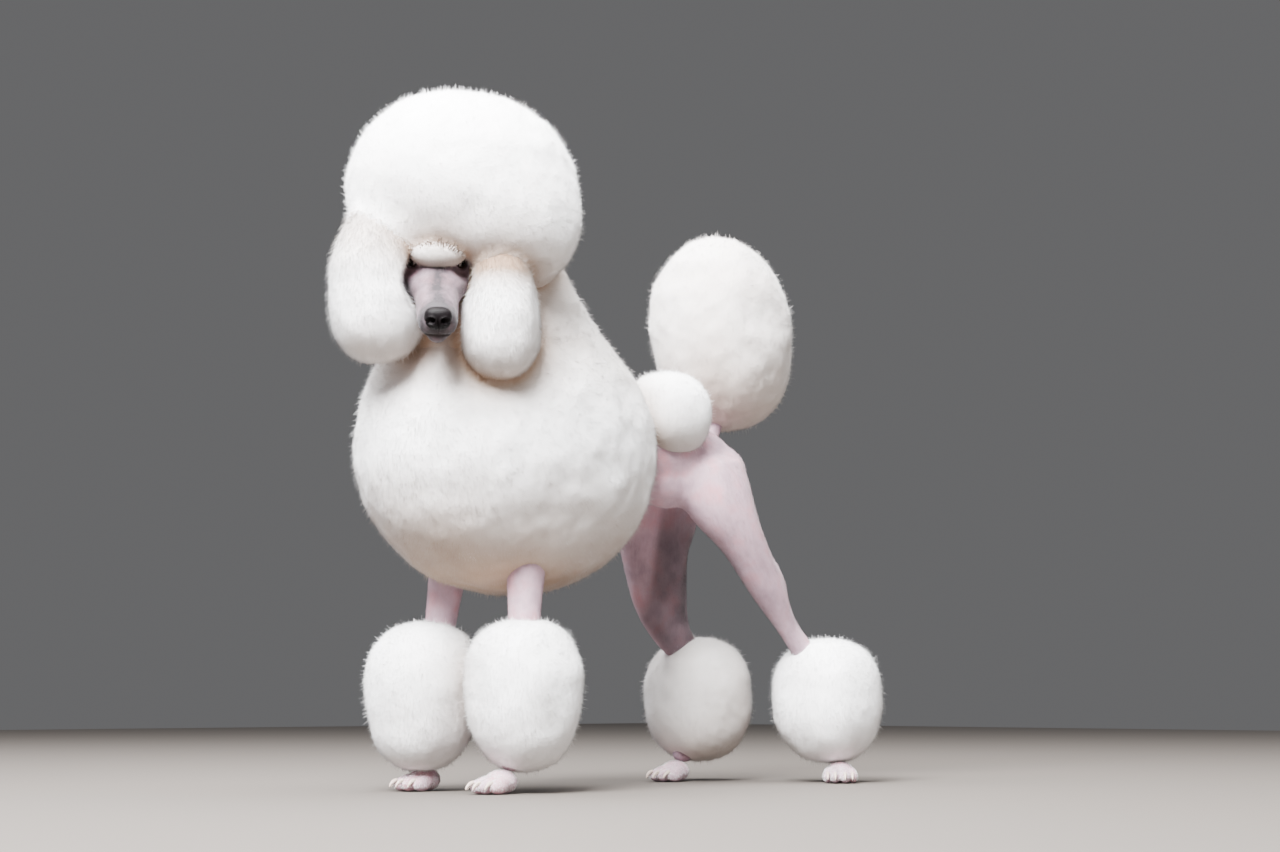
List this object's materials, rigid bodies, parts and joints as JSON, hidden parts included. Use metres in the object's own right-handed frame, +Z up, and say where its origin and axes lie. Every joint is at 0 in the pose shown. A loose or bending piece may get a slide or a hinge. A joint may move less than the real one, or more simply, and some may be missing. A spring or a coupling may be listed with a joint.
{
  "type": "standard poodle",
  "caption": "Life-size white standard poodle standing in a continental show clip, head turned to its left.",
  "frame": {"origin": "middle of the bounding box's footprint, on the floor under the paws", "axes": "+Z up, -Y the way the body faces, +X the dog's left"},
  "size_m": [0.3792, 0.9716, 0.9796],
  "materials": {
    "coat": "dense soft white curly hair, matte",
    "skin": "pale pink clipped skin with very short white hair, matte",
    "nose": "moist black nose leather, satin",
    "eyes": "dark brown, wet gloss",
    "claws": "pale horn, satin"
  },
  "bodies": {
    "root": {"torso": "coat", "neck": "coat", "topknot": "coat", "ear_left": "coat", "ear_right": "coat", "bracelet_fore_left": "coat", "bracelet_fore_right": "coat", "bracelet_hind_left": "coat", "bracelet_hind_right": "coat", "rosette_left": "coat", "rosette_right": "coat", "tail_pompom": "coat", "head": "skin", "hindquarters": "skin", "tail": "skin", "foreleg_left": "skin", "foreleg_right": "skin", "hindleg_left": "skin", "hindleg_right": "skin", "paw_fore_left": "skin", "paw_fore_right": "skin", "paw_hind_left": "skin", "paw_hind_right": "skin", "nose": "nose", "eye_left": "eyes", "eye_right": "eyes", "claw_fore_left_1": "claws", "claw_fore_left_2": "claws", "claw_fore_left_3": "claws", "claw_fore_left_4": "claws", "claw_fore_right_1": "claws", "claw_fore_right_2": "claws", "claw_fore_right_3": "claws", "claw_fore_right_4": "claws", "claw_hind_left_1": "claws", "claw_hind_left_2": "claws", "claw_hind_left_3": "claws", "claw_hind_left_4": "claws", "claw_hind_right_1": "claws", "claw_hind_right_2": "claws", "claw_hind_right_3": "claws", "claw_hind_right_4": "claws"}
  },
  "joints": []
}
